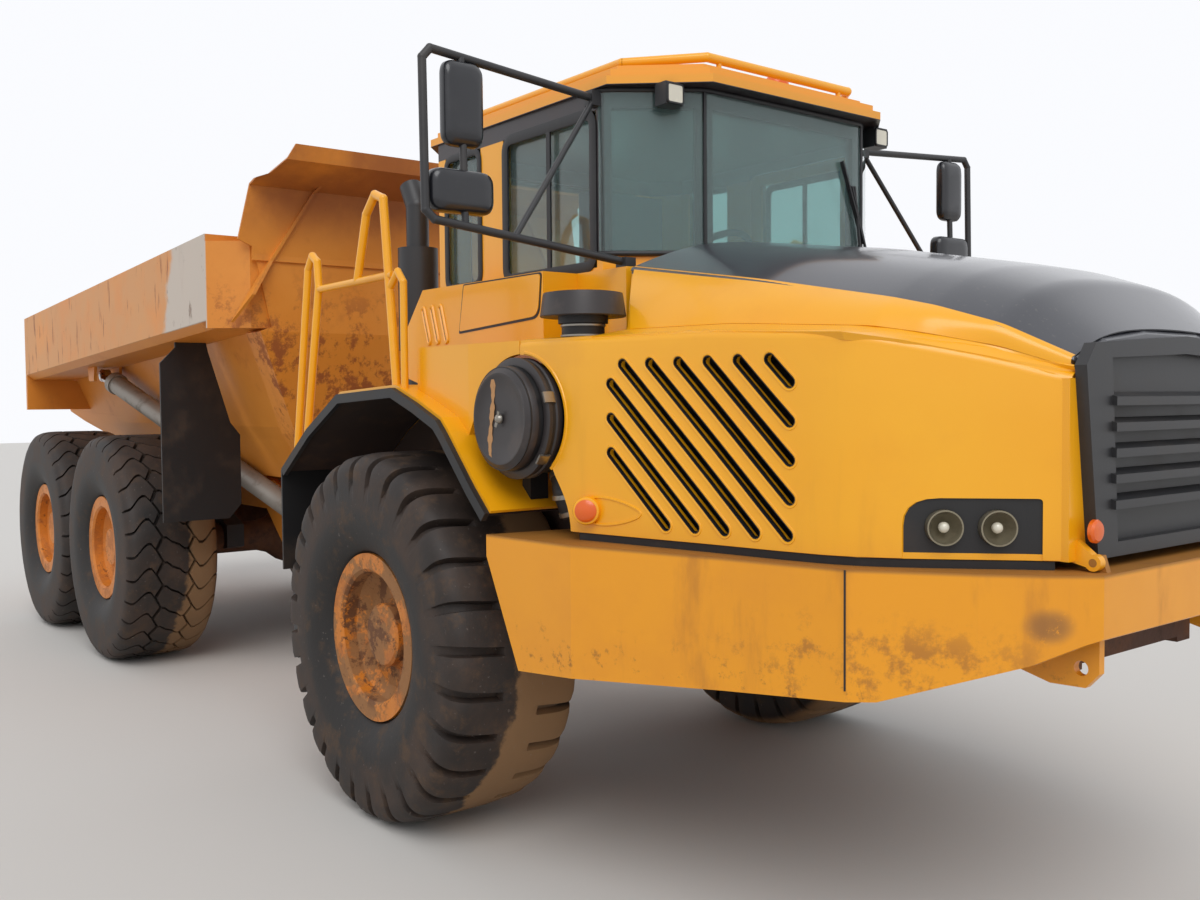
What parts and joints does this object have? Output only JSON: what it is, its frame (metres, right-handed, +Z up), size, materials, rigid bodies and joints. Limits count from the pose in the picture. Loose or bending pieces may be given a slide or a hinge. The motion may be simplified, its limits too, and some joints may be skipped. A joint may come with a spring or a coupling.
{
  "type": "articulated dump truck",
  "caption": "Yellow articulated six-wheel dump truck with a hinged frame, an open tipping body, a cab with mirrors and handrails, and a slotted tilting hood",
  "frame": {"origin": "on the ground under the middle of the overall length and of the width", "axes": "+X forward to the nose, +Y to the truck's left, +Z up"},
  "size_m": [11.17, 3.5852, 3.5749],
  "materials": {
    "yellow_paint": "painted",
    "ochre_paint": "painted",
    "dark_paint": "painted",
    "frame_paint": "painted",
    "black_plastic": "matte",
    "rod_chrome": "polished",
    "tube_paint": "painted",
    "engine_cast": "cast",
    "core_black": "matte",
    "clear_glass": "clear",
    "rubber_black": "matte",
    "tyre_black": "matte",
    "rim_paint": "painted",
    "seat_fabric": "matte",
    "amber_lens": "glossy",
    "red_lens": "glossy"
  },
  "bodies": {
    "front_unit": {"front_frame": "frame_paint", "front_axle": "frame_paint", "engine": "engine_cast", "radiator": "core_black", "bumper": "yellow_paint", "cab_shell": "yellow_paint", "cab_glass": "clear_glass", "seat": "seat_fabric", "dash": "black_plastic", "roof_rail": "yellow_paint", "fenders": "yellow_paint", "fender_lips": "rubber_black", "handrails": "yellow_paint", "ladders": "dark_paint", "cowl": "yellow_paint", "air_cleaner": "black_plastic", "exhaust": "dark_paint", "mirror_arms": "dark_paint", "mirrors": "black_plastic", "beacon": "amber_lens", "lamps": "dark_paint", "rear_panel": "yellow_paint"},
    "door": {"cab_door": "yellow_paint", "door_glass": "clear_glass"},
    "hood": {"hood_top": "dark_paint", "hood_sides": "yellow_paint", "grille": "dark_paint", "headlamps": "black_plastic", "pre_cleaner": "black_plastic"},
    "hitch_body": {"hitch": "frame_paint"},
    "steer_tube_right": {"steer_tube_r": "frame_paint"},
    "steer_tube_left": {"steer_tube_l": "frame_paint"},
    "steer_rod_right": {"steer_rod_r": "rod_chrome"},
    "steer_rod_left": {"steer_rod_l": "rod_chrome"},
    "rear_unit": {"rear_frame": "ochre_paint", "bogie_beams": "dark_paint", "rear_axles": "frame_paint", "tail_lamps": "red_lens"},
    "hoist_tube_right": {"hoist_tube_r": "tube_paint"},
    "hoist_tube_left": {"hoist_tube_l": "tube_paint"},
    "hoist_rod_right": {"hoist_rod_r": "rod_chrome"},
    "hoist_rod_left": {"hoist_rod_l": "rod_chrome"},
    "dump_body": {"bed": "ochre_paint", "spill_guard": "ochre_paint", "mud_flaps": "rubber_black"},
    "wheel_front_right": {"tyre_fr": "tyre_black", "rim_fr": "rim_paint"},
    "wheel_front_left": {"tyre_fl": "tyre_black", "rim_fl": "rim_paint"},
    "wheel_middle_right": {"tyre_mr": "tyre_black", "rim_mr": "rim_paint"},
    "wheel_middle_left": {"tyre_ml": "tyre_black", "rim_ml": "rim_paint"},
    "wheel_rear_right": {"tyre_rr": "tyre_black", "rim_rr": "rim_paint"},
    "wheel_rear_left": {"tyre_rl": "tyre_black", "rim_rl": "rim_paint"}
  },
  "joints": [
    {"name": "steer", "type": "hinge", "parent": "front_unit", "child": "hitch_body", "pos_m": [0.985, 0, 1.03], "axis": [0, 0, 1], "range_deg": [-45, 45]},
    {"name": "roll", "type": "hinge", "parent": "hitch_body", "child": "rear_unit", "pos_m": [0.985, 0, 1.03], "axis": [1, 0, 0], "range_deg": [-15, 15]},
    {"name": "tip_body", "type": "hinge", "parent": "rear_unit", "child": "dump_body", "pos_m": [-4.716, 0, 1.27], "axis": [0, -1, 0], "range_deg": [0, 70]},
    {"name": "open_hood", "type": "hinge", "parent": "front_unit", "child": "hood", "pos_m": [5.531, 0, 1.45], "axis": [0, 1, 0], "range_deg": [0, 70]},
    {"name": "open_door", "type": "hinge", "parent": "front_unit", "child": "door", "pos_m": [2.635, 0.9, 2.5], "axis": [0, 0, 1], "range_deg": [0, 75]},
    {"name": "steer_tube_swing_right", "type": "hinge", "parent": "front_unit", "child": "steer_tube_right", "pos_m": [1.965, -0.56, 0.9], "axis": [0, 0, 1], "range_deg": [-5.08, 5.08]},
    {"name": "steer_rod_slide_right", "type": "slide", "parent": "steer_tube_right", "child": "steer_rod_right", "axis": [-0.9832, 0.1825, 0], "range_m": [-0.2555, 0.2555]},
    {"name": "steer_tube_swing_left", "type": "hinge", "parent": "front_unit", "child": "steer_tube_left", "pos_m": [1.965, 0.56, 0.9], "axis": [0, 0, 1], "range_deg": [-5.08, 5.08]},
    {"name": "steer_rod_slide_left", "type": "slide", "parent": "steer_tube_left", "child": "steer_rod_left", "axis": [-0.9832, -0.1825, 0], "range_m": [-0.2555, 0.2555]},
    {"name": "hoist_tube_swing_right", "type": "hinge", "parent": "rear_unit", "child": "hoist_tube_right", "pos_m": [-0.575, -0.56, 1.165], "axis": [-0.3966, 0.1073, -0.9117], "range_deg": [0, 5.25]},
    {"name": "hoist_rod_slide_right", "type": "slide", "parent": "hoist_tube_right", "child": "hoist_rod_right", "axis": [-0.9048, -0.2131, 0.3686], "range_m": [0, 2.06]},
    {"name": "hoist_tube_swing_left", "type": "hinge", "parent": "rear_unit", "child": "hoist_tube_left", "pos_m": [-0.575, 0.56, 1.165], "axis": [0.3966, 0.1073, 0.9117], "range_deg": [0, 5.25]},
    {"name": "hoist_rod_slide_left", "type": "slide", "parent": "hoist_tube_left", "child": "hoist_rod_left", "axis": [-0.9048, 0.2131, 0.3686], "range_m": [0, 2.06]},
    {"name": "spin_front_right", "type": "hinge", "parent": "front_unit", "child": "wheel_front_right", "pos_m": [2.485, -1.267, 0.865], "axis": [0, 1, 0], "continuous": true},
    {"name": "spin_front_left", "type": "hinge", "parent": "front_unit", "child": "wheel_front_left", "pos_m": [2.485, 1.267, 0.865], "axis": [0, 1, 0], "continuous": true},
    {"name": "spin_middle_right", "type": "hinge", "parent": "rear_unit", "child": "wheel_middle_right", "pos_m": [-1.966, -1.267, 0.865], "axis": [0, 1, 0], "continuous": true},
    {"name": "spin_middle_left", "type": "hinge", "parent": "rear_unit", "child": "wheel_middle_left", "pos_m": [-1.966, 1.267, 0.865], "axis": [0, 1, 0], "continuous": true},
    {"name": "spin_rear_right", "type": "hinge", "parent": "rear_unit", "child": "wheel_rear_right", "pos_m": [-3.786, -1.267, 0.865], "axis": [0, 1, 0], "continuous": true},
    {"name": "spin_rear_left", "type": "hinge", "parent": "rear_unit", "child": "wheel_rear_left", "pos_m": [-3.786, 1.267, 0.865], "axis": [0, 1, 0], "continuous": true}
  ],
  "couplings": [
    {"joint": "steer_tube_swing_right", "follows": "steer", "ratio": -0.11187},
    {"joint": "steer_tube_swing_left", "follows": "steer", "ratio": -0.11187},
    {"joint": "steer_rod_slide_right", "follows": "steer", "m_per_rad": -0.32399},
    {"joint": "steer_rod_slide_left", "follows": "steer", "m_per_rad": 0.32399},
    {"joint": "hoist_tube_swing_right", "follows": "tip_body", "ratio": 0.074495},
    {"joint": "hoist_tube_swing_left", "follows": "tip_body", "ratio": 0.074495},
    {"joint": "hoist_rod_slide_right", "follows": "tip_body", "m_per_rad": 1.6848},
    {"joint": "hoist_rod_slide_left", "follows": "tip_body", "m_per_rad": 1.6848}
  ]
}
